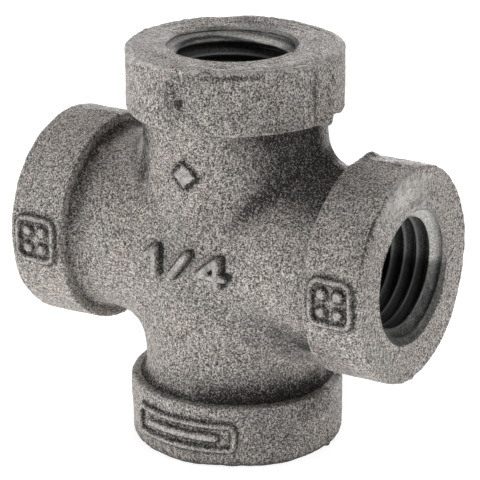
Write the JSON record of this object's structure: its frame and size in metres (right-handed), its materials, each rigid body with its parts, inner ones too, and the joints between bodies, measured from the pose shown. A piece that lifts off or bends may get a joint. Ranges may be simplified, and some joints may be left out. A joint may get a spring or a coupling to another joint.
{
  "type": "pipe cross fitting",
  "caption": "Cross-shaped cast pipe fitting: equal banded ports at right angles, each with a tapered female pipe thread, round a hollow filleted hub.",
  "frame": {"origin": "the point where the axes of the two runs cross, at the centre of the fitting", "axes": "+Z along the vertical run towards the top port, +X along the horizontal run towards the right port, -Y towards the front, which carries the cast-on marks; the casting parts in the plane Y = 0"},
  "size_m": [0.0412, 0.0222, 0.0412],
  "materials": {
    "cast_iron": "sandy as-cast malleable iron, light grey-brown oxide",
    "machined_iron": "tapped and countersunk iron, darkened by cutting oil, semi-matt"
  },
  "bodies": {
    "root": {"hub": "cast_iron", "band_top": "cast_iron", "band_right": "cast_iron", "band_bottom": "cast_iron", "band_left": "cast_iron", "thread_top": "machined_iron", "thread_right": "machined_iron", "thread_bottom": "machined_iron", "thread_left": "machined_iron"}
  },
  "joints": []
}
